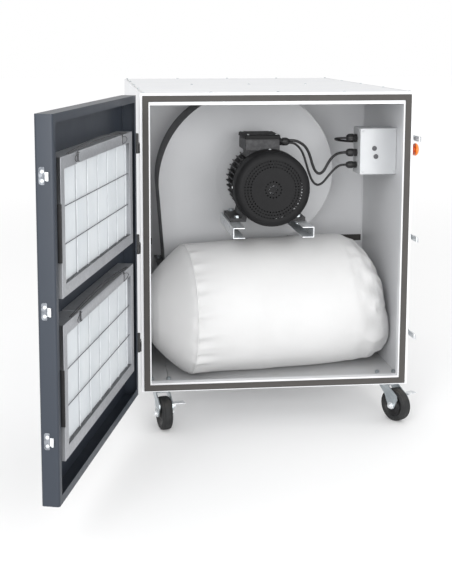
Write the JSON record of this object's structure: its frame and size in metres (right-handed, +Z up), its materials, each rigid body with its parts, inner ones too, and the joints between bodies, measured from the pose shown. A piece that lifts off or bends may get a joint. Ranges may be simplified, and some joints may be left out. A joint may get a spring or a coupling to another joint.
{
  "type": "dust collector",
  "caption": "Mobile clean-air dust collector: steel cabinet on casters, hinged filter door, fan with motor, filter bag and rear dust bin.",
  "frame": {"origin": "centre of the cabinet's footprint, on the floor", "axes": "+X to the cabinet's right seen from the door side, +Y to the rear, +Z up"},
  "size_m": [1.1095, 2.0366, 1.0124],
  "materials": {
    "body_paint": "fine light grey powder coat",
    "door_paint": "satin anthracite powder coat",
    "seal_rubber": "matt dark grey",
    "fan_paint": "light grey powder coat",
    "fan_side": "dark grey powder coat",
    "bare_steel": "plain steel sheet",
    "zinc": "blue zinc plate",
    "motor_paint": "black stove enamel",
    "lamination": "varnished laminations",
    "black_plastic": "black moulded plastic",
    "grey_plastic": "light grey moulded plastic",
    "cable_rubber": "black cable sheath",
    "bag_fabric": "white needle felt",
    "media_fabric": "white filter fleece",
    "cassette_metal": "mill finish sheet",
    "wire": "galvanised wire",
    "tyre": "black solid rubber",
    "hinge_black": "black zinc",
    "signal_plastic": "orange moulded plastic",
    "signal_base": "dark red moulded plastic"
  },
  "bodies": {
    "cabinet": {"side_wall_left": "body_paint", "side_wall_right": "body_paint", "roof_panel": "body_paint", "floor_panel": "body_paint", "front_frame": "body_paint", "rear_panel": "body_paint", "partition_panel": "body_paint", "inlet_spigot": "body_paint", "door_gasket": "seal_rubber", "partition_rail": "seal_rubber", "scroll_front_plate": "fan_paint", "fan_cover_ring": "fan_paint", "scroll_wrap": "fan_side", "bag_clamp_frame": "fan_side", "inlet_cone": "bare_steel", "bearings": "bare_steel", "roof_screws": "zinc", "caster_mounts": "zinc", "fixing_bolts": "zinc", "motor_rails": "zinc", "latch_bases": "zinc", "motor_housing": "motor_paint", "motor_end_shields": "motor_paint", "fan_cowl": "motor_paint", "terminal_box": "motor_paint", "stator": "lamination", "cable_glands": "black_plastic", "control_box": "grey_plastic", "box_plugs": "grey_plastic", "motor_cable_upper": "cable_rubber", "motor_cable_lower": "cable_rubber", "supply_cable": "cable_rubber", "filter_bag": "bag_fabric", "hinge_cabinet_halves": "hinge_black", "stop_button_base": "signal_base"},
    "door": {"door_panel": "door_paint", "hinge_door_halves": "hinge_black", "latch_strikes": "zinc", "filter_frames": "cassette_metal", "filter_media": "media_fabric", "filter_grids": "wire", "side_retainers": "black_plastic"},
    "clamp_upper": {"clamp_bar_upper": "cassette_metal"},
    "clamp_lower": {"clamp_bar_lower": "cassette_metal"},
    "rotor": {"motor_shaft": "bare_steel", "impeller": "bare_steel", "cooling_fan": "black_plastic"},
    "fork_left": {"front_fork_left": "zinc"},
    "fork_right": {"front_fork_right": "zinc"},
    "wheel_fl": {"wheel_front_left": "tyre"},
    "wheel_fr": {"wheel_front_right": "tyre"},
    "wheel_rl": {"wheel_rear_left": "tyre"},
    "wheel_rr": {"wheel_rear_right": "tyre"},
    "pedal_left": {"brake_pedal_left": "zinc"},
    "pedal_right": {"brake_pedal_right": "zinc"},
    "latch_top": {"latch_lever_top": "zinc"},
    "latch_middle": {"latch_lever_middle": "zinc"},
    "latch_bottom": {"latch_lever_bottom": "zinc"},
    "button": {"stop_button": "signal_plastic"},
    "bin": {"dust_bin": "body_paint"}
  },
  "joints": [
    {"name": "door_hinge", "type": "hinge", "parent": "cabinet", "child": "door", "pos_m": [-0.409, -0.586, 0.567], "axis": [0, 0, -1], "range_deg": [-105.5, 60]},
    {"name": "clamp_upper_lift", "type": "slide", "parent": "door", "child": "clamp_upper", "axis": [0, 0, 1], "range_m": [0, 0.008], "stiffness_N_per_m": 1200, "springref_m": -0.004},
    {"name": "clamp_lower_lift", "type": "slide", "parent": "door", "child": "clamp_lower", "axis": [0, 0, 1], "range_m": [0, 0.008], "stiffness_N_per_m": 1200, "springref_m": -0.004},
    {"name": "rotor_spin", "type": "hinge", "parent": "cabinet", "child": "rotor", "pos_m": [0, -0.3, 0.717], "axis": [0, 1, 0], "continuous": true},
    {"name": "swivel_left", "type": "hinge", "parent": "cabinet", "child": "fork_left", "pos_m": [-0.338, -0.5, 0.112], "axis": [0, 0, 1], "continuous": true},
    {"name": "swivel_right", "type": "hinge", "parent": "cabinet", "child": "fork_right", "pos_m": [0.364, -0.5, 0.112], "axis": [0, 0, 1], "continuous": true},
    {"name": "wheel_fl_roll", "type": "hinge", "parent": "fork_left", "child": "wheel_fl", "pos_m": [-0.33113, -0.53534, 0.05], "axis": [0.9816, 0.1908, 0], "continuous": true},
    {"name": "wheel_fr_roll", "type": "hinge", "parent": "fork_right", "child": "wheel_fr", "pos_m": [0.382, -0.53118, 0.05], "axis": [0.866, 0.5, 0], "continuous": true},
    {"name": "wheel_rl_roll", "type": "hinge", "parent": "cabinet", "child": "wheel_rl", "pos_m": [-0.338, 0.5, 0.05], "axis": [1, 0, 0], "continuous": true},
    {"name": "wheel_rr_roll", "type": "hinge", "parent": "cabinet", "child": "wheel_rr", "pos_m": [0.364, 0.5, 0.05], "axis": [1, 0, 0], "continuous": true},
    {"name": "brake_left", "type": "hinge", "parent": "fork_left", "child": "pedal_left", "pos_m": [-0.30256, -0.54608, 0.076], "axis": [0.9816, 0.1908, 0], "range_deg": [0, 20]},
    {"name": "brake_right", "type": "hinge", "parent": "fork_right", "child": "pedal_right", "pos_m": [0.41252, -0.53203, 0.076], "axis": [0.866, 0.5, 0], "range_deg": [0, 20]},
    {"name": "latch_top_turn", "type": "hinge", "parent": "cabinet", "child": "latch_top", "pos_m": [0.409, -0.528, 0.872], "axis": [0, 0, 1], "range_deg": [0, 150]},
    {"name": "latch_middle_turn", "type": "hinge", "parent": "cabinet", "child": "latch_middle", "pos_m": [0.409, -0.528, 0.575], "axis": [0, 0, 1], "range_deg": [0, 150]},
    {"name": "latch_bottom_turn", "type": "hinge", "parent": "cabinet", "child": "latch_bottom", "pos_m": [0.409, -0.528, 0.281], "axis": [0, 0, 1], "range_deg": [0, 150]},
    {"name": "button_press", "type": "slide", "parent": "cabinet", "child": "button", "axis": [-1, 0, 0], "range_m": [0, 0.004], "stiffness_N_per_m": 600, "springref_m": -0.002},
    {"name": "bin_pull", "type": "slide", "parent": "cabinet", "child": "bin", "axis": [0, 1, 0], "range_m": [0, 0.45]}
  ]
}
